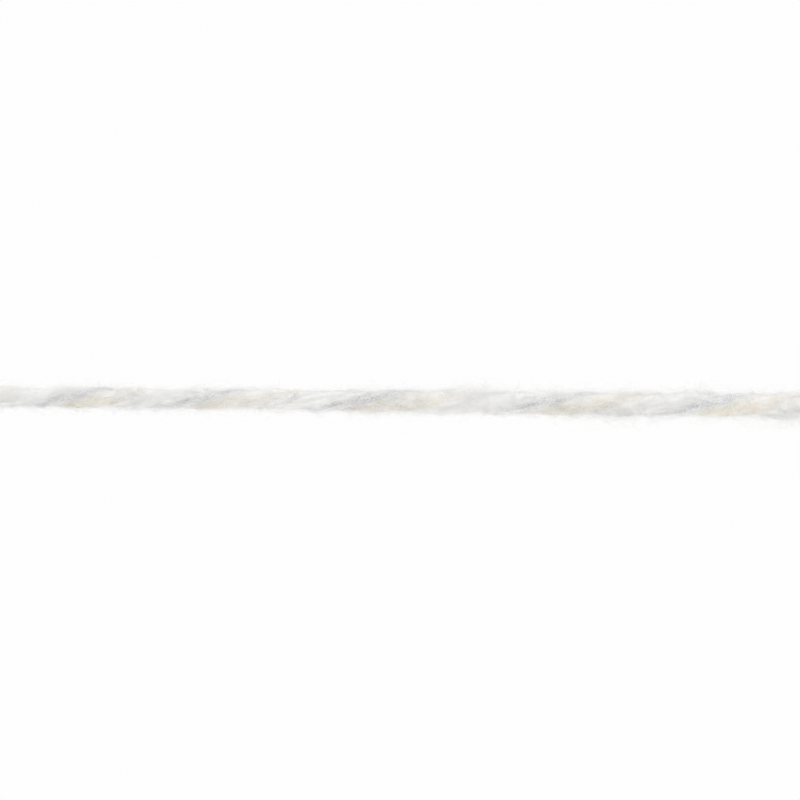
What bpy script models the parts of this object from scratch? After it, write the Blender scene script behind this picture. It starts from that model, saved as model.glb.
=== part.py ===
"""Knitting yarn: a cut length of soft three-ply strand, lying straight on a table.

Metres, +Z up. The strand runs along X with its middle at x = 0 and rests on the plane z = 0.
Three spun singles are plied together in S-twist, the left-handed way. Cream and pale are
equally fat and lie almost opposite each other. The grey one is thin, and sits in the groove
beside them. Each single is a section drawn off the strand's axis, swept along that axis and
turned as it goes.
"""

import math

import bmesh
import bpy
from mathutils import Vector

MM = 0.001
TURN = 2 * math.pi

# The cut length and its plies.
LENGTH = 110 * MM
RING_STEP = 1.0 * MM       # distance between neighbouring sections
GAP = 0.34 * MM            # clearance between two plies that press on each other, on a section
SLIM_PLY = 0.52 * MM       # radius of the grey single's round back
FAT_PLY = 0.95 * MM        # radius of the cream and of the pale single's round back
SLIM_OFFSET = 1.00 * MM    # from the strand's axis to the middle of the grey single
FAT_OFFSET = 0.57 * MM     # the same for the cream and for the pale single
STRAND_RADIUS = FAT_OFFSET + FAT_PLY
PRESS = 0.08 * MM          # depth to which the resting side is squashed flat

# The outline of one single.
ROUND_SIDES = 13                  # sides of the full round before it is squashed
SHARP_TURN = math.radians(40)     # a corner that turns more than this is cut across
CORNER_CUT = 0.09 * MM
SHORTEST_SIDE = 0.09 * MM
LONGEST_SIDE = 0.50 * MM          # a wider flat would fold along its diagonals as it twists

# "behind" is how many turns a single comes up on top of the strand after the grey one does.
PLIES = {
    "ply_grey": {"radius": SLIM_PLY, "offset": SLIM_OFFSET, "behind": 0.0,
                 "colour": (0.47, 0.48, 0.49)},
    "ply_cream": {"radius": FAT_PLY, "offset": FAT_OFFSET, "behind": 0.283,
                  "colour": (0.80, 0.73, 0.60)},
    "ply_pale": {"radius": FAT_PLY, "offset": FAT_OFFSET, "behind": 0.717,
                 "colour": (0.82, 0.82, 0.80)},
}

# Where the grey single is on top: (x in mm, turns). The ply twist is uneven, as hand-spun.
TWIST = (
    (-58.9, -1),
    (-41.4, 0),
    (-24.9, 1),
    (-5.3, 2),
    (18.1, 3),
    (38.1, 4),
    (58.8, 5),
)

# Thick and thin places: (x in mm, thickness against STRAND_RADIUS). The cut ends open a little.
SLUBS = (
    (-55.0, 0.97),
    (-50.0, 0.92),
    (-32.0, 0.92),
    (-16.0, 0.93),
    (-4.0, 0.98),
    (6.0, 1.03),
    (26.0, 1.05),
    (42.0, 1.06),
    (50.0, 1.10),
    (55.0, 1.14),
)


def curve_through(rows, x):
    """The value at x of a smooth curve through rows of (place, value)."""
    last = len(rows) - 1
    k = max(i for i in range(last) if i == 0 or rows[i][0] <= x)
    (x0, y0), (x1, y1) = rows[k], rows[k + 1]

    def slope(i):
        a, b = max(i - 1, 0), min(i + 1, last)
        return (rows[b][1] - rows[a][1]) / (rows[b][0] - rows[a][0])

    span = x1 - x0
    t = (x - x0) / span
    return ((2 * t**3 - 3 * t**2 + 1) * y0 + (t**3 - 2 * t**2 + t) * span * slope(k)
            + (3 * t**2 - 2 * t**3) * y1 + (t**3 - t**2) * span * slope(k + 1))


def ply_centre(ply, behind):
    """A single's middle on a section turned so that a single this far behind grey is on top."""
    angle = (behind - ply["behind"]) * TURN
    return Vector((-ply["offset"] * math.sin(angle), ply["offset"] * math.cos(angle)))


def clipped(outline, wall):
    """The part of a closed outline on this side of the line that wall points at squarely."""
    kept = []
    for here, there in zip(outline, outline[1:] + outline[:1]):
        over_here = here.dot(wall) - wall.length_squared
        over_there = there.dot(wall) - wall.length_squared
        if over_here <= 0:
            kept.append(here)
        if over_here * over_there < 0:
            kept.append(here.lerp(there, over_here / (over_here - over_there)))
    return kept


def softened(outline):
    """A closed outline with its sharp corners cut across and its shortest sides left out."""
    soft = []
    for k, corner in enumerate(outline):
        back = outline[k - 1] - corner
        ahead = outline[(k + 1) % len(outline)] - corner
        if back.angle(ahead) < math.pi - SHARP_TURN:
            soft.append(corner + back.normalized() * CORNER_CUT)
            soft.append(corner + ahead.normalized() * CORNER_CUT)
        elif back.length > SHORTEST_SIDE:
            soft.append(corner)
    return soft


def divided(outline):
    """A closed outline with its long sides cut into even lengths."""
    fine = []
    for here, there in zip(outline, outline[1:] + outline[:1]):
        pieces = math.ceil((there - here).length / LONGEST_SIDE)
        fine += [here.lerp(there, k / pieces) for k in range(pieces)]
    return fine


def ply_section(name):
    """The outline of one single: round, and squashed flat where it presses on the others."""
    ply = PLIES[name]
    here = ply_centre(ply, ply["behind"])
    steps = [TURN * (0.25 + k / ROUND_SIDES) for k in range(ROUND_SIDES)]
    outline = [Vector((math.cos(a), math.sin(a))) * ply["radius"] for a in steps]
    for other_name, other in PLIES.items():
        if other_name != name:
            across = ply_centre(other, ply["behind"]) - here
            apart = across.length
            contact = (apart**2 + ply["radius"]**2 - other["radius"]**2) / (2 * apart)
            outline = clipped(outline, across.normalized() * (contact - GAP / 2))
    return [here + point for point in divided(softened(outline))]


def collection(name):
    """A new collection of the scene."""
    made = bpy.data.collections.new(name)
    bpy.context.scene.collection.children.link(made)
    return made


def poly_curve(name, points, home, closed=False):
    """A curve object of straight runs through the points."""
    data = bpy.data.curves.new(name, "CURVE")
    data.dimensions = "2D" if closed else "3D"
    data.fill_mode = "NONE" if closed else "FULL"
    spline = data.splines.new("POLY")
    spline.points.add(len(points) - 1)
    for point, place in zip(spline.points, points):
        point.co = Vector(place).to_4d()
    spline.use_cyclic_u = closed
    curve = bpy.data.objects.new(name, data)
    home.objects.link(curve)
    return curve


def sweep(name, section, home):
    """The section swept along the strand's axis, turned by the twist and swollen by the slubs."""
    steps = round(LENGTH / RING_STEP)
    places = [-LENGTH / 2 + k * LENGTH / steps for k in range(steps + 1)]
    swell = [curve_through(SLUBS, x / MM) for x in places]
    axis = [(x, 0.0, STRAND_RADIUS * s - PRESS) for x, s in zip(places, swell)]
    path = poly_curve(name + "_path", axis, home)
    path.data.twist_mode = "Z_UP"
    path.data.bevel_mode = "OBJECT"
    path.data.bevel_object = section
    path.data.use_fill_caps = True
    for point, x, s in zip(path.data.splines[0].points, places, swell):
        point.tilt = -TURN * (curve_through(TWIST, x / MM) - PLIES[name]["behind"])
        point.radius = s
    return path


def solid_from(path, name, home):
    """The swept curve as one closed mesh object. The curve is removed."""
    ready = path.evaluated_get(bpy.context.evaluated_depsgraph_get())
    mesh = bpy.data.meshes.new_from_object(ready)
    mesh.name = name
    work = bmesh.new()
    work.from_mesh(mesh)
    bmesh.ops.remove_doubles(work, verts=work.verts, dist=0.001 * MM)
    bmesh.ops.recalc_face_normals(work, faces=work.faces)
    work.to_mesh(mesh)
    work.free()
    solid = bpy.data.objects.new(name, mesh)
    solid.matrix_world = path.matrix_world
    home.objects.link(solid)
    bpy.data.objects.remove(path)
    return solid


def wool(name, colour):
    """Matt spun fibre."""
    material = bpy.data.materials.new(name)
    material.use_nodes = True
    shader = material.node_tree.nodes["Principled BSDF"]
    shader.inputs["Base Color"].default_value = (*colour, 1.0)
    shader.inputs["Roughness"].default_value = 0.95
    shader.inputs["Metallic"].default_value = 0.0
    material.diffuse_color = (*colour, 1.0)
    return material


def floor_cutter(home):
    """A slab under z = 0 that takes off what would sink into the table."""
    depth = 2 * STRAND_RADIUS
    bpy.ops.mesh.primitive_cube_add(size=1.0, location=(0.0, 0.0, -depth / 2))
    slab = bpy.context.object
    slab.name = "table_cutter"
    slab.scale = (1.2 * LENGTH, 8 * STRAND_RADIUS, depth)
    slab.hide_render = True
    slab.display_type = "WIRE"
    for owner in list(slab.users_collection):
        owner.objects.unlink(slab)
    home.objects.link(slab)
    return slab


def make_ply(name, home, guides, slab):
    """One single of the strand, flat where it rests."""
    section = poly_curve(name + "_section", ply_section(name), guides, closed=True)
    section.hide_render = True
    section.display_type = "WIRE"
    solid = solid_from(sweep(name, section, home), name, home)
    solid.data.materials.append(wool(name, PLIES[name]["colour"]))
    solid.data.shade_smooth()
    solid.data.set_sharp_from_angle(angle=math.radians(50))
    rest = solid.modifiers.new("rest_on_table", "BOOLEAN")
    rest.operation = "DIFFERENCE"
    rest.solver = "EXACT"
    rest.object = slab
    return solid


def main():
    for old in list(bpy.data.objects):
        bpy.data.objects.remove(old)
    home = collection("knitting_yarn")
    guides = collection("sections_and_cutters")
    slab = floor_cutter(guides)
    for name in PLIES:
        make_ply(name, home, guides, slab)


main()
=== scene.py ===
# %% [markdown]
# # Knitting yarn, close up
#
# This lesson dresses a cut length of soft three-ply yarn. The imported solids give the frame:
# three plies, cream, pale and grey, twisted round each other and lying on a table along X.
# Here each ply gets a soft core, a coat of fibres, stray hairs and cut ends. The frame comes
# first, because every piece rides on one of its bodies.

# %% Load the frame
import math

import bpy
import numpy as np
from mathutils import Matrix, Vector


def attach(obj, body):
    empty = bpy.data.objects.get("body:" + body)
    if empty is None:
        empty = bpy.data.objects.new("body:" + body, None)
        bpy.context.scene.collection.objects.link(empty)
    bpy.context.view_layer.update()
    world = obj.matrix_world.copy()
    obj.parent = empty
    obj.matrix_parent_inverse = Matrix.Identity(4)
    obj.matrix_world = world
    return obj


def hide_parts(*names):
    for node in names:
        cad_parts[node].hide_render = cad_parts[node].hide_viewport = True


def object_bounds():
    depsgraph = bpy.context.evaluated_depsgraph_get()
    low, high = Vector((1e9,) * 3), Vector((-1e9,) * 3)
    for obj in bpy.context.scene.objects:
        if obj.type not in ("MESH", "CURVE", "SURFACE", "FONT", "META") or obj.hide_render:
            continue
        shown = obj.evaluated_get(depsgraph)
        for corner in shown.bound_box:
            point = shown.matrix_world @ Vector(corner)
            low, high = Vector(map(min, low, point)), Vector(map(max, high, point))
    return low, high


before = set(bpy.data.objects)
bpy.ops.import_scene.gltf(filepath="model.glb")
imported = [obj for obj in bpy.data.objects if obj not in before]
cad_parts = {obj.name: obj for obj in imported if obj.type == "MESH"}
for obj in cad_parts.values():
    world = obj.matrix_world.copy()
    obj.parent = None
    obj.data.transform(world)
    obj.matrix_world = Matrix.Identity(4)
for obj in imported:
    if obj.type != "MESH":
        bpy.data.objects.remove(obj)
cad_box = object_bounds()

print("plies in the frame:", sorted(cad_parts))

# %% [markdown]
# ## Sizes of the strand
#
# A plied yarn is a set of spun singles that wind round one straight axis. Four things place
# every point of it: how far the twist has turned, how thick the strand is there, where a
# single sits on the section, and which way round that single the point lies. The tables say
# the first two, and they are the same ones that the solids were made from.

# %% Tables of the strand
MM = 0.001
TURN = 2 * math.pi

# Where the grey single is on top: (x in mm, turns).
TWIST = ((-58.9, -1), (-41.4, 0), (-24.9, 1), (-5.3, 2), (18.1, 3), (38.1, 4), (58.8, 5))

# Thick and thin places: (x in mm, thickness).
SLUBS = ((-55.0, 0.97), (-50.0, 0.92), (-32.0, 0.92), (-16.0, 0.93), (-4.0, 0.98),
         (6.0, 1.03), (26.0, 1.05), (42.0, 1.06), (50.0, 1.10), (55.0, 1.14))

# Lengths in mm. "behind" is how many turns a single comes up on top after the grey one does.
PLIES = {
    "cream": {"radius": 0.95, "offset": 0.57, "behind": 0.283},
    "pale": {"radius": 0.95, "offset": 0.57, "behind": 0.717},
    "grey": {"radius": 0.52, "offset": 1.00, "behind": 0.0},
}

STRAND_RADIUS = 1.52
# How far the resting side is squashed flat.
PRESS = 0.08
LEFT, RIGHT = (cad_box[0][0] / MM, cad_box[1][0] / MM)
print(f"the strand runs from {LEFT:.1f} to {RIGHT:.1f} mm")


# %% [markdown]
# A smooth curve through a table's rows is a Hermite curve: each stretch starts and ends with
# the slope between its neighbours. Every value is worked out for many places at once, which
# is what numpy arrays are for.

# %% Smooth curves and the place of a point on a ply
def curve_through(rows, x):
    """The smooth curve through rows of (place, value), at every x."""
    place, value = np.array(rows, float).T
    slope = np.empty_like(value)
    slope[1:-1] = (value[2:] - value[:-2]) / (place[2:] - place[:-2])
    slope[0] = (value[1] - value[0]) / (place[1] - place[0])
    slope[-1] = (value[-1] - value[-2]) / (place[-1] - place[-2])
    x = np.asarray(x, float)
    k = np.clip(np.searchsorted(place, x, side="right") - 1, 0, len(place) - 2)
    span = place[k + 1] - place[k]
    t = (x - place[k]) / span
    return ((2 * t**3 - 3 * t**2 + 1) * value[k] + (t**3 - 2 * t**2 + t) * span * slope[k]
            + (3 * t**2 - 2 * t**3) * value[k + 1] + (t**3 - t**2) * span * slope[k + 1])


def turned(ply, x):
    """The angle of a ply on the section at x, from straight up towards +Y."""
    return TURN * (curve_through(TWIST, x) - PLIES[ply]["behind"])


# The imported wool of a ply, in mm. Its round back is INSET smaller than the whole ply, which
# leaves room for the loose fibres, it fills the grooves to GROOVE_FLOOR from the strand's
# axis, and it presses FELTED past the contact with each neighbour.
INSET = 0.15
GROOVE_FLOOR = 1.12
FELTED = 0.14


def section_radius(ply, psi, softness=18):
    """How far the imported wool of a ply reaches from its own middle, towards psi from its
    outermost point. It is round at the back, and flat where it presses on the other two."""
    own = PLIES[ply]
    sunk = own["offset"] * np.sin(psi)
    filled = -own["offset"] * np.cos(psi) + np.sqrt(GROOVE_FLOOR**2 - sunk**2)
    total = np.maximum(own["radius"] - INSET, filled) ** -softness
    for name, other in PLIES.items():
        if name != ply:
            ahead = TURN * (own["behind"] - other["behind"])
            side = other["offset"] * math.sin(ahead)
            rise = other["offset"] * math.cos(ahead) - own["offset"]
            apart = math.hypot(side, rise)
            contact = (apart**2 + own["radius"]**2 - other["radius"]**2) / (2 * apart)
            wall = contact + FELTED
            facing = np.maximum(np.cos(psi - math.atan2(side, rise)), 0)
            total = total + (facing / wall) ** softness
    return total ** (-1 / softness)


def on_ply(ply, x, psi, lift=0.0):
    """Points in mm on a ply's packed wool, or lift above it."""
    swell = curve_through(SLUBS, x)
    theta = turned(ply, x)
    offset = PLIES[ply]["offset"] * swell
    reach = section_radius(ply, psi) * swell + lift
    axis = STRAND_RADIUS * swell - PRESS
    return np.stack([x + 0 * psi,
                     offset * np.sin(theta) + reach * np.sin(theta + psi),
                     axis + offset * np.cos(theta) + reach * np.cos(theta + psi)], -1)


# %% [markdown]
# ## Camera, table and light
#
# The strand was laid on a bright white table and seen from straight above with a long lens,
# so there is hardly any perspective. The table is part of the stage and not of the yarn.

# %% Camera
VIEW_WIDTH = 100.0
LENS, SENSOR = 100.0, 36.0
DISTANCE = VIEW_WIDTH * LENS / SENSOR

bpy.ops.object.select_all(action="DESELECT")
bpy.ops.object.camera_add(location=(0, 0.14 * MM, (DISTANCE + STRAND_RADIUS) * MM),
                          rotation=(0, 0, math.radians(0.64)))
camera = bpy.context.object
camera.name = "camera"
camera.data.lens = LENS
camera.data.sensor_width = SENSOR
camera.data.clip_start = 0.01
bpy.context.scene.camera = camera
bpy.context.scene.view_settings.view_transform = "Standard"
print(f"camera {DISTANCE:.0f} mm above the strand")


# %% [markdown]
# Two helpers serve every material. Colours are chosen as hex values, the way a paint shop
# or a colour picker gives them, and shaders want them linear. A node is added together with
# its settings and its links, so that a material reads from top to bottom.

# %% Colour and node helpers
def linear(colour):
    """A hex sRGB colour as linear red, green, blue and alpha."""
    parts = [int(colour[k:k + 2], 16) / 255 for k in (1, 3, 5)]
    return (*[c / 12.92 if c <= 0.04045 else ((c + 0.055) / 1.055) ** 2.4 for c in parts], 1.0)


def add_node(material, kind, settings=None, **inputs):
    """A new node with its settings and its inputs. An input is a value or an output socket."""
    tree = material.node_tree
    node = tree.nodes.new(kind)
    for name, value in (settings or {}).items():
        setattr(node, name, value)
    for name, value in inputs.items():
        socket = node.inputs[name.replace("_", " ")]
        if isinstance(value, bpy.types.NodeSocket):
            tree.links.new(value, socket)
        else:
            socket.default_value = value
    return node


def new_material(name):
    """A material with no nodes yet."""
    material = bpy.data.materials.new(name)
    material.use_nodes = True
    material.node_tree.nodes.clear()
    return material


# %% [markdown]
# The table gives off an even white light of its own, like a light table, so it takes no
# shadow. The world lights the strand from everywhere. Two large lamps low at the sides lift
# its edges, one from above lights its back, and two weaker ones show the cut ends.

# %% Table, world and lamps
TABLE_LIGHT = 0.988
WORLD_LIGHT = 0.645
# Softboxes: name, place in m, width in m, power in watts.
SOFTBOXES = (
    ("softbox_back", (0.0, 0.65, 0.20), 0.4, 2.2),
    ("softbox_front", (0.0, -0.65, 0.20), 0.4, 2.4),
    ("softbox_top", (0.0, 0.0, 0.60), 0.3, 0.6),
    ("softbox_left", (-0.65, 0.0, 0.15), 0.4, 0.95),
    ("softbox_right", (0.65, 0.0, 0.15), 0.4, 0.95),
)

bpy.ops.object.select_all(action="DESELECT")
bpy.ops.mesh.primitive_plane_add(size=4.0, location=(0, 0, -0.02 * MM))
table = bpy.context.object
table.name = "table"
white = new_material("lit_table")
glow = add_node(white, "ShaderNodeEmission", Color=linear("#FFFFFF"), Strength=TABLE_LIGHT)
add_node(white, "ShaderNodeOutputMaterial", Surface=glow.outputs["Emission"])
table.data.materials.append(white)

world = bpy.data.worlds.new("studio")
world.use_nodes = True
world.node_tree.nodes["Background"].inputs["Color"].default_value = (1, 1, 1, 1)
world.node_tree.nodes["Background"].inputs["Strength"].default_value = WORLD_LIGHT
bpy.context.scene.world = world


def softbox(name, place, width, power):
    """A square lamp that faces the middle of the strand."""
    bpy.ops.object.light_add(type="AREA", location=place)
    lamp = bpy.context.object
    lamp.name = name
    lamp.data.shape = "SQUARE"
    lamp.data.size = width
    lamp.data.energy = power
    lamp.rotation_euler = Vector(place).to_track_quat("Z", "Y").to_euler()


for row in SOFTBOXES:
    softbox(*row)
print("stage and lamps ready")

# %% [markdown]
# ## Wool
#
# Wool fibre is keratin: matt, a little translucent, with an IOR of about 1.55. Its surface
# scales scatter light, so a mass of it has a soft sheen at grazing angles and no highlight.
# Each ply has two colours: deep, as it was dyed or grown, and pale, where white fibres that
# worked loose lie over it, and as painted light that whitens the back of the strand, towards +Y.

# %% Wool materials
WOOL = {
    "cream": {"deep": "#E2DBCB", "pale": "#FCFCFB"},
    "pale": {"deep": "#EDECE9", "pale": "#FCFCFC"},
    "grey": {"deep": "#CDCDCD", "pale": "#F6F6F6"},
}


def mix(material, factor, colours):
    """A colour between two others, by a factor from 0 to 1."""
    node = add_node(material, "ShaderNodeMix", {"data_type": "RGBA"})
    material.node_tree.links.new(factor, node.inputs[0])
    for socket, colour in zip((node.inputs[6], node.inputs[7]), colours):
        if isinstance(colour, bpy.types.NodeSocket):
            material.node_tree.links.new(colour, socket)
        else:
            socket.default_value = colour
    return node.outputs[2]


def wool_core(ply):
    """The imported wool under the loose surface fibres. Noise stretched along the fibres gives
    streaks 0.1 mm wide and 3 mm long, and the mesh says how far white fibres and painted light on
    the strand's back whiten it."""
    material = new_material(f"{ply}_wool_core")
    deep, pale = linear(WOOL[ply]["deep"]), linear(WOOL[ply]["pale"])
    where = add_node(material, "ShaderNodeUVMap", {"uv_map": "lay"})
    stretch = add_node(material, "ShaderNodeMapping", Vector=where.outputs["UV"],
                       Scale=(0.35, 9.0, 1.0))
    streaks = add_node(material, "ShaderNodeTexNoise", Vector=stretch.outputs["Vector"],
                       Scale=1.0, Detail=4.0, Roughness=0.6)
    tint = add_node(material, "ShaderNodeAttribute", {"attribute_name": "tint"})
    wool = mix(material, tint.outputs["Fac"], (deep, pale))
    dusty = (*[0.95 * c for c in deep[:3]], 1)
    streaked = mix(material, streaks.outputs["Fac"], (dusty, wool))
    bump = add_node(material, "ShaderNodeBump", Height=streaks.outputs["Fac"],
                    Strength=0.5, Distance=0.03 * MM)
    shader = add_node(material, "ShaderNodeBsdfPrincipled", Normal=bump.outputs["Normal"],
                      Base_Color=streaked, Roughness=1.0, IOR=1.55)
    shader.inputs["Specular IOR Level"].default_value = 0.2
    add_node(material, "ShaderNodeOutputMaterial", Surface=shader.outputs["BSDF"])
    return material


def wool_fibre(ply):
    """One loose fibre. Each has its own tint, held in the mesh, which carries painted light too.
    """
    material = new_material(f"{ply}_wool_fibre")
    deep, pale = linear(WOOL[ply]["deep"]), linear(WOOL[ply]["pale"])
    tint = add_node(material, "ShaderNodeAttribute", {"attribute_name": "tint"})
    shader = add_node(material, "ShaderNodeBsdfPrincipled", Roughness=0.8, IOR=1.55,
                      Base_Color=mix(material, tint.outputs["Fac"], (deep, pale)))
    shader.inputs["Specular IOR Level"].default_value = 0.3
    add_node(material, "ShaderNodeOutputMaterial", Surface=shader.outputs["BSDF"])
    return material


core_wool = {ply: wool_core(ply) for ply in PLIES}
fibre_wool = {ply: wool_fibre(ply) for ply in PLIES}

# %% [markdown]
# ## How white fibres and painted light cover the colours
#
# White fibres that worked loose from the pale ply lie over all three, most beside a ply's
# neighbours and in patches. Painted light whitens each ply as well: it leaves a ply's own
# colour barest a little to the front of the top, and hides most of it at the back.

# %% Cover of white fibres and painted light
# How strong the patches are, and how much more cover there is beside a neighbour.
PATCHY = 0.4
BORDER = 0.5
# How far round the strand each ply reaches to either side of its own middle.
HALF_STRIPE = {"cream": 1.2, "pale": 1.2, "grey": 0.45}
# Where painted light leaves a ply its own colour best: (angle from straight up, how far to each
# side).
SIDE_WITHOUT_PAINTED_LIGHT = {"cream": (-0.75, 0.87), "pale": (-0.7, 0.9), "grey": (-0.1, 0.75)}


def cover_and_painted_light(ply, x, phi):
    """How far white fibres and painted light hide a ply's own colour where it faces phi on the
    strand, from 0 to 1: painted light most at the back, and fibres more beside its neighbours
    and in patches a few mm long."""
    middle, width = SIDE_WITHOUT_PAINTED_LIGHT[ply]
    # Painted light: away from the front, and most at the back towards +Y, the ply's colour is
    # whitened.
    aside = (phi - middle + math.pi) % TURN - math.pi
    patch = PATCHY * np.sin(1.7 * x + phi) * np.sin(0.6 * x - 2 * phi)
    across = np.abs((phi - turned(ply, x) + math.pi) % TURN - math.pi) / HALF_STRIPE[ply]
    border = BORDER * np.clip(2 * across - 1, 0, 1) ** 2
    return np.clip(1 - np.exp(-(aside / width) ** 2) + patch + border, 0, 1)


for ply in PLIES:
    print(ply, "ply: cover on top at the middle", round(float(cover_and_painted_light(ply, 0.0, 0.0)), 2))

# %% [markdown]
# ## The three plies
#
# Each ply starts as a flat grid of squares. The grid is rolled into a tube round the ply's
# own middle, sewn shut along the seam, capped at the cut ends, and pressed flat where it
# rests. Its UV map is in millimetres, along the ply and round it, so that streaks follow
# the fibres.

# %% Roll a grid into a ply
ALONG, AROUND = 360, 32
# How far inside the cut, in mm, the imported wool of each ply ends. They differ, because the
# plies press into each other and no two end faces may lie in one plane.
CUT_BACK = {"cream": 0.16, "pale": 0.22, "grey": 0.10}
# How far the streaks turn round the ply in each mm along it, in radians.
LAY = 0.5


def roll_ply(ply):
    """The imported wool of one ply, as a closed tube."""
    bpy.ops.object.select_all(action="DESELECT")
    bpy.ops.mesh.primitive_grid_add(x_subdivisions=ALONG, y_subdivisions=AROUND, size=2)
    core = bpy.context.object
    core.name = f"{ply}_ply"
    mesh = core.data
    mesh.name = core.name
    flat = np.empty(len(mesh.vertices) * 3)
    mesh.vertices.foreach_get("co", flat)
    u, v = (flat.reshape(-1, 3)[:, :2].T + 1) / 2
    back = CUT_BACK[ply]
    x = LEFT + back + (RIGHT - LEFT - 2 * back) * u
    psi = -TURN * v
    points = on_ply(ply, x, psi)
    points[:, 2] = np.maximum(points[:, 2], 0)
    mesh.vertices.foreach_set("co", (points * MM).ravel())
    phi = np.arctan2(points[:, 1], points[:, 2] - STRAND_RADIUS * curve_through(SLUBS, x) + PRESS)
    # tint: how far white fibre cover and painted light on the strand's back whiten the ply's
    # colour.
    tint = mesh.attributes.new("tint", "FLOAT", "POINT")
    tint.data.foreach_set("value", cover_and_painted_light(ply, x, phi).astype(np.float32))
    round_it = TURN * PLIES[ply]["radius"]
    spots = np.empty(len(mesh.loops), int)
    mesh.loops.foreach_get("vertex_index", spots)
    layer = mesh.uv_layers[0]
    layer.name = "lay"
    sheared = v * round_it + (x - LEFT) * LAY * PLIES[ply]["radius"]
    layer.uv.foreach_set("vector", np.stack([x, sheared], 1)[spots].ravel())
    bpy.ops.object.mode_set(mode="EDIT")
    bpy.ops.mesh.select_all(action="SELECT")
    bpy.ops.mesh.remove_doubles(threshold=0.001 * MM)
    bpy.ops.mesh.select_all(action="DESELECT")
    bpy.ops.mesh.select_mode(type="EDGE")
    bpy.ops.mesh.select_non_manifold()
    bpy.ops.mesh.fill_holes(sides=0)
    bpy.ops.mesh.select_all(action="SELECT")
    bpy.ops.mesh.normals_make_consistent(inside=False)
    bpy.ops.object.mode_set(mode="OBJECT")
    bpy.ops.object.shade_smooth_by_angle(angle=math.radians(60))
    mesh.materials.append(core_wool[ply])
    return core


cores = {ply: roll_ply(ply) for ply in PLIES}
for ply, core in cores.items():
    print(core.name, len(core.data.polygons), "faces")


# %% [markdown]
# Each ply is loose: it lies where it was put and nothing holds it.
# Its path is a helix through the middle of its section, worked out from the same tables.

# %% The path of a ply
def ply_path(ply, count=160):
    """The middle of a ply from its left end to its right end, in m."""
    x = np.linspace(LEFT, RIGHT, count)
    swell = curve_through(SLUBS, x)
    theta = turned(ply, x)
    offset = PLIES[ply]["offset"] * swell
    points = np.stack([x, offset * np.sin(theta),
                       STRAND_RADIUS * swell - PRESS + offset * np.cos(theta)], 1)
    return points * MM


# %% [markdown]
# ## Fibres
#
# A fibre is a very thin bent tube. Thousands are needed, so they are made as one mesh from
# arrays: a row of points for each fibre, and a triangle of corners round each point. The
# thickness tapers towards both ends.

# %% Make fibres from rows of points
# A tip's thickness against the fibre's, and how steeply it grows to the full thickness.
TIP = 0.25
TAPER = 6


def fibres(name, lines, thickness, tint, material):
    """One mesh of all the fibres. lines is (fibre, point, xyz) in mm, thickness in mm."""
    count, steps, _ = lines.shape
    lines = lines.copy()
    lines[:, :, 2] = np.maximum(lines[:, :, 2], 0.5 * thickness[:, None])
    ahead = np.gradient(lines, axis=1)
    ahead /= np.linalg.norm(ahead, axis=2, keepdims=True) + 1e-12
    helper = np.array([0.31, 0.53, 0.79])
    side = np.cross(ahead, helper)
    side /= np.linalg.norm(side, axis=2, keepdims=True) + 1e-12
    up = np.cross(ahead, side)
    t = np.linspace(0, 1, steps)
    taper = np.clip(np.minimum(t, 1 - t) * TAPER + TIP, 0, 1)
    half = thickness[:, None] * taper / 2
    corners = [lines + half[:, :, None] * (math.cos(a) * side + math.sin(a) * up)
               for a in (0, TURN / 3, 2 * TURN / 3)]
    points = np.stack(corners, 2).reshape(-1, 3) * MM
    ring = 3 * np.arange(count * steps).reshape(count, steps)[:, :-1, None]
    k = np.arange(3)
    n = (k + 1) % 3
    walls = np.stack([ring + k, ring + n, ring + 3 + n, ring + 3 + k], -1).reshape(-1, 4)
    first = 3 * steps * np.arange(count)
    last = first + 3 * (steps - 1)
    tips = np.concatenate([np.stack([first + 2, first + 1, first], 1),
                           np.stack([last, last + 1, last + 2], 1)])
    mesh = bpy.data.meshes.new(name)
    loops = np.concatenate([walls.ravel(), tips.ravel()])
    sizes = np.concatenate([np.full(len(walls), 4), np.full(len(tips), 3)])
    mesh.vertices.add(len(points))
    mesh.vertices.foreach_set("co", points.ravel())
    mesh.loops.add(len(loops))
    mesh.loops.foreach_set("vertex_index", loops)
    mesh.polygons.add(len(sizes))
    mesh.polygons.foreach_set("loop_start", np.concatenate([[0], np.cumsum(sizes)[:-1]]))
    mesh.update(calc_edges=True)
    mesh.shade_smooth()
    shade = mesh.attributes.new("tint", "FLOAT", "POINT")
    shade.data.foreach_set("value", np.repeat(tint, steps * 3).astype(np.float32))
    mesh.materials.append(material)
    piece = bpy.data.objects.new(name, mesh)
    bpy.context.scene.collection.objects.link(piece)
    print(name, count, "fibres,", 2 * len(walls) + len(tips), "triangles")
    return piece


rng = np.random.default_rng(33)

# %% [markdown]
# ## The coat of fibres
#
# A spun single is twisted one way and the plies are twisted together the other way, which
# lays its surface fibres almost straight along the yarn. So a fibre goes back round its own
# ply as the ply goes forward round the strand.

# %% Lay fibres along each ply
# The part of a ply that shows, to each side of its outermost point, in radians.
SHOWING = 1.75
# How far the ends of a fibre are tucked in, in mm.
TUCK = 0.06


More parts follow.
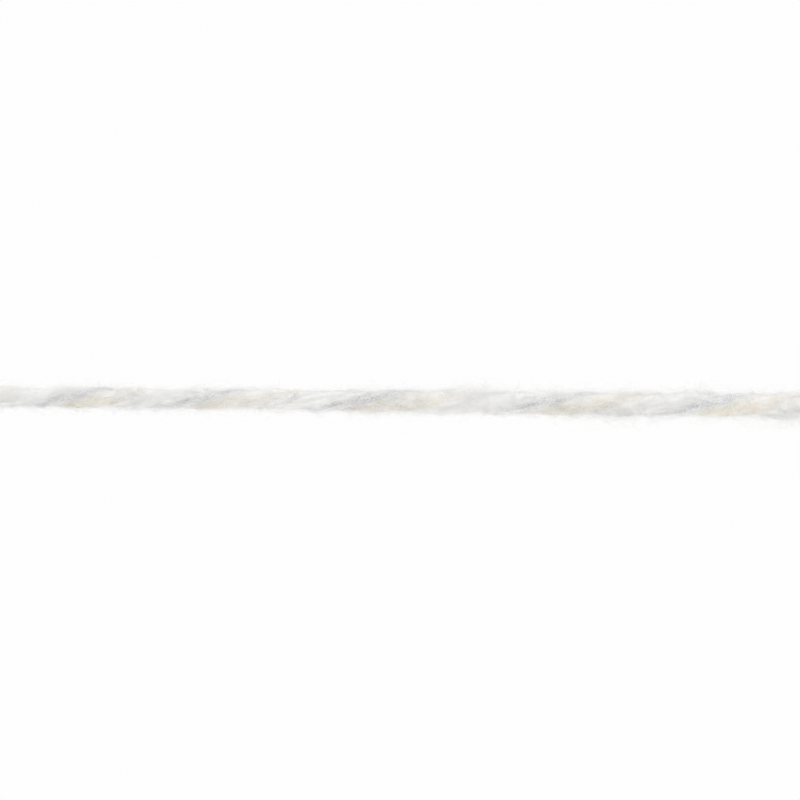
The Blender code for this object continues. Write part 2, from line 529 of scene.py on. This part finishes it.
def coat(ply, count, thickness, length, lift, counter, steps=10, wave=0.05, splay=0.12):
    """Fibres that lie on a ply. Lengths and lifts are in mm. counter is how fast they go
    back round the ply, and splay how much they differ in that."""
    middle = rng.uniform(LEFT, RIGHT, count)
    long = rng.uniform(*length, count)
    start = np.clip(middle - long / 2, LEFT, RIGHT)
    stop = np.clip(middle + long / 2, LEFT, RIGHT)
    t = np.linspace(0, 1, steps)
    x = start[:, None] + (stop - start)[:, None] * t
    psi0 = rng.uniform(-SHOWING, SHOWING, count)
    turn = turned(ply, x) - turned(ply, middle)[:, None]
    drift = rng.normal(0, splay, count)[:, None] * (x - middle[:, None]) / PLIES[ply]["radius"]
    phase = rng.uniform(0, TURN, (2, count, 1))
    curl = rng.uniform(0.5, 1.3, (count, 1)) * TURN
    psi = psi0[:, None] - counter * turn + drift + wave * np.sin(curl * t + phase[0])
    height = lift[0] + (lift[1] - lift[0]) * rng.random(count) ** 2
    rise = height[:, None] * (0.7 + 0.3 * np.sin(curl * t + phase[1]))
    ends = 1 - np.clip(np.minimum(t, 1 - t) * 5, 0, 1)
    rise = rise - TUCK * ends
    lines = on_ply(ply, x, psi, lift=rise)
    thick = rng.uniform(*thickness, count)
    # The tint carries white fibre cover, painted light on the strand's back, and a random share.
    tint = cover_and_painted_light(ply, middle, turned(ply, middle) + psi0) + rng.uniform(0, 0.4, count)
    return fibres(f"{ply}_coat", lines, thick, np.minimum(tint, 1), fibre_wool[ply])


coats = {
    "cream": coat("cream", 700, (0.02, 0.035), (4, 10), (-0.01, 0.04), 1.5),
    "pale": coat("pale", 700, (0.02, 0.035), (4, 10), (-0.01, 0.04), 1.5),
    "grey": coat("grey", 300, (0.02, 0.035), (4, 9), (-0.01, 0.03), 1.8),
}

# %% [markdown]
# ## Fibres that run over the strand
#
# Loose fibres don't keep to the grooves. They lie over the whole strand like the string on a
# parcel, from one ply to the next, and blur the edges between colours. Where a fibre starts
# says which ply it belongs to.

# %% The outside of the whole strand
# How far fibres reach past the cut ends, in mm, and the share of them all that are pale ones.
FRAY = 1.5
STRAY = 0.5
# How deep the ends of a loose fibre are rooted, in mm.
ROOT = 0.03


def outside(x, phi):
    """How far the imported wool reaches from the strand's axis towards phi, and which ply is
    outermost there."""
    swell = curve_through(SLUBS, x)
    reach = []
    for ply, own in PLIES.items():
        aside = phi - turned(ply, x)
        deep = (own["radius"] - INSET) ** 2 - (own["offset"] * np.sin(aside)) ** 2
        far = own["offset"] * np.cos(aside) + np.sqrt(np.maximum(deep, 0))
        reach.append(np.where(deep > 0, far, 0.0))
    return np.maximum(np.max(reach, 0), GROOVE_FLOOR) * swell, np.argmax(reach, 0)


def over_strand(label, roots, length, slope, lift, thickness, keep, tint, steps=9, curl=0.3,
                bend=0.0, loops=0.6):
    """Fibres that run over the strand from roots, the rows x and phi. slope is each one's
    angle from the yarn's own direction and lift how far it rises, in radians and mm. bend is
    how far a fibre turns as a whole, and curl how far it wavers. A share lies as loops, and
    the others have a free end. keep is the share kept of each ply's own."""
    x0, phi0 = roots
    count = len(x0)
    long = rng.uniform(*length, count)[:, None]
    t = np.linspace(-0.5, 0.5, steps)
    wiggle, sway, _ = rng.uniform(0, TURN, (3, count, 1))
    waves = rng.uniform(0.35, 1.0, (count, 1)) * TURN
    heading = (slope[:, None] + rng.normal(0, 1, (count, 1)) * bend * t
               + curl * rng.random((count, 1)) * np.sin(waves * t + wiggle))
    along = np.cumsum(np.cos(heading), 1) * long / steps
    around = np.cumsum(np.sin(heading), 1) * long / steps
    x = np.clip(x0[:, None] + along - along.mean(1, keepdims=True), LEFT - FRAY, RIGHT + FRAY)
    phi = phi0[:, None] + (around - around.mean(1, keepdims=True)) / STRAND_RADIUS
    reach, _ = outside(x, phi)
    for _ in range(3):
        wide = np.pad(reach, ((0, 0), (1, 1)), mode="edge")
        reach = np.maximum(reach, (wide[:, :-2] + wide[:, 2:]) / 2)
    looped = (rng.random(count) < loops)[:, None]
    arc = np.where(looped, np.cos(math.pi * t), np.sin(0.5 * math.pi * (t + 0.5))) ** 0.6
    rise = lift[:, None] * arc * (1 + 0.25 * np.sin(waves * t + sway)) - ROOT
    axis = STRAND_RADIUS * curve_through(SLUBS, x) - PRESS
    lines = np.stack([x, (reach + rise) * np.sin(phi), axis + (reach + rise) * np.cos(phi)], -1)
    _, owner = outside(x0, phi0)
    owner = np.where(rng.random(count) < STRAY, list(PLIES).index("pale"), owner)
    made = {}
    for number, ply in enumerate(PLIES):
        mine = (owner == number) & (rng.random(count) < keep[ply])
        thick = rng.uniform(*thickness, mine.sum())
        # The shade is a random tint plus half the white fibre cover and painted light on the
        # strand's back.
        shade = rng.uniform(*tint, mine.sum()) + 0.5 * cover_and_painted_light(ply, x0[mine], phi0[mine])
        made[ply] = fibres(f"{ply}_{label}", lines[mine], thick, np.minimum(shade, 1),
                           fibre_wool[ply])
    return made


# The strand's open side reaches this far to each side of the top, in radians, and this share
# of the loose fibres lies under it.
OPEN = 2.1
UNDER = 0.2


def anywhere(count):
    """Roots spread over the strand, rows of x and phi: fewest underneath, where it lay and
    rubbed them flat."""
    phi = rng.uniform(-OPEN, OPEN, count)
    phi = np.where(rng.random(count) < UNDER, rng.uniform(OPEN, TURN - OPEN, count), phi)
    return np.stack([rng.uniform(LEFT, RIGHT, count), phi])


count = 2000
bridges = over_strand("bridges", anywhere(count), (3, 8), rng.normal(0.25, 0.3, count),
                      rng.exponential(0.06, count), (0.018, 0.034),
                      {"cream": 0.8, "pale": 1.0, "grey": 0.5}, (0.2, 0.7))

# %% [markdown]
# ## Curls
#
# Wool is crimped, so a fibre end that works loose springs into an arc half a millimetre
# wide. The arcs lie on top of the coat, cross the strand at steep angles and catch the
# light. They gather where the spinner joined a new tuft.

# %% Curls
# Where the joins are: x in mm.
CURLY = (-34.8, -30.6, -2.6, 0.6, 16.9)


def gathered(count, share, spread):
    """Roots of which a share gather at the CURLY places, spread mm to each side."""
    x, phi = anywhere(count)
    inside = rng.random(count) < share
    x = np.where(inside, rng.choice(CURLY, count) + rng.normal(0, spread, count), x)
    phi = np.where(inside, rng.normal(0, 0.7, count), phi)
    return np.stack([x, phi])


count = 1100
curls = over_strand("curls", gathered(count, 0.15, 1.2), (1.0, 2.6),
                    rng.normal(0.9, 0.6, count), 0.14 + rng.exponential(0.06, count),
                    (0.04, 0.075), {"cream": 0.8, "pale": 1.0, "grey": 0.7}, (1.0, 1.0),
                    steps=12, curl=0.6, bend=2.6)

# %% [markdown]
# ## Fuzz and halo
#
# The finest fibre ends stand up all over a soft yarn. Short ones make a fuzz close to the
# surface and longer ones a haze half a millimetre deep, thicker at some places along the
# yarn than at others.

# %% Fuzz and halo
# Where the haze is thick or thin: x in mm, side (1 towards +Y), half width in mm, how much.
SHAGGY = ((26.2, -1, 5.0, 1.3), (48.5, -1, 4.0, 1.1), (-3.0, -1, 4.0, 0.4),
          (9.4, 1, 3.0, 0.9), (36.8, 1, 3.0, 0.9), (-45.8, 1, 3.0, -0.5),
          (-29.5, 1, 3.0, -0.5), (-10.8, 1, 3.0, -0.5))


def shag(x, phi):
    """How thick the haze is at x on the side towards phi, where 1 is usual."""
    thick = np.ones_like(x)
    for place, side, width, more in SHAGGY:
        thick = thick + more * np.exp(-((x - place) / width) ** 2) * np.maximum(
            side * np.sin(phi), 0)
    return thick


def hazy(count):
    """Roots that lie closer together where the haze is thick: of three times as many, the
    more likely to stay the thicker the haze is there."""
    x, phi = anywhere(3 * count)
    chosen = rng.random(3 * count) * 2 < shag(x, phi)
    return np.stack([x, phi])[:, chosen][:, :count]


count = 6500
fuzz = over_strand("fuzz", hazy(count), (0.8, 2.2), rng.normal(0.3, 0.9, count),
                   0.06 + rng.exponential(0.19, count), (0.014, 0.023),
                   {"cream": 0.85, "pale": 1.0, "grey": 0.9}, (0.2, 0.7), steps=7, curl=0.6,
                   bend=1.8)
count = 5500
roots = hazy(count)
halo = over_strand("halo", roots, (1.4, 4.0), rng.normal(0.3, 0.8, count),
                   np.minimum(0.16 + rng.exponential(0.42, count), 1.15) * shag(*roots) ** 0.7,
                   (0.019, 0.03), {"cream": 0.85, "pale": 1.0, "grey": 0.9}, (0.2, 0.7),
                   steps=8, curl=0.7, bend=1.6)

# %% [markdown]
# ## The cut ends
#
# Scissors leave each single as a blunt tuft: its fibres start inside it and spread a little
# where nothing holds them any more.

# %% Tufts at the cut ends
# How deep inside the ply a tuft's fibres start, in mm.
ROOTED = 0.8


def tuft(ply, count, steps=7):
    """Short fibres that stand out of both cut ends of a ply."""
    right = rng.random(count) < 0.5
    end = np.where(right, RIGHT, LEFT)[:, None]
    outward = np.where(right, 1, -1)[:, None]
    t = np.linspace(0, 1, steps)
    out = -ROOTED + (ROOTED + np.minimum(rng.exponential(0.35, (count, 1)), FRAY)) * t
    x = end + outward * out
    psi = rng.uniform(0, TURN, (count, 1))
    swell = curve_through(SLUBS, end)
    deep = np.sqrt(rng.uniform(0.0, 0.95, (count, 1)))
    spread = 1 + rng.uniform(-0.1, 0.25, (count, 1)) * t**2
    reach = section_radius(ply, psi) * swell * deep * spread
    theta = turned(ply, end) + 0.1 * outward * out
    offset = PLIES[ply]["offset"] * swell
    axis = STRAND_RADIUS * swell - PRESS
    bow = 0.2 * rng.normal(0, 1, (2, count, 1)) * np.maximum(out, 0) ** 2
    lines = np.stack([x, offset * np.sin(theta) + reach * np.sin(theta + psi) + bow[0],
                      axis + offset * np.cos(theta) + reach * np.cos(theta + psi) + bow[1]], -1)
    return fibres(f"{ply}_tufts", lines, rng.uniform(0.025, 0.045, count),
                  rng.uniform(0.2, 0.7, count), fibre_wool[ply])


tufts = {ply: tuft(ply, count) for ply, count in (("cream", 700), ("pale", 700), ("grey", 300))}

# %% [markdown]
# ## Putting the plies together
#
# Nothing on a yarn is stiff, so every piece rides on the one body, and a ply's coat, bridges,
# curls, fuzz, halo and tufts go where it goes.

# %% Give every piece its body, and find each ply's path
for ply, core in cores.items():
    pieces = [core, coats[ply], bridges[ply], curls[ply], fuzz[ply], halo[ply], tufts[ply]]
    for piece in pieces:
        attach(piece, "root")
    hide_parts(f"ply_{ply}")
    path = ply_path(ply)
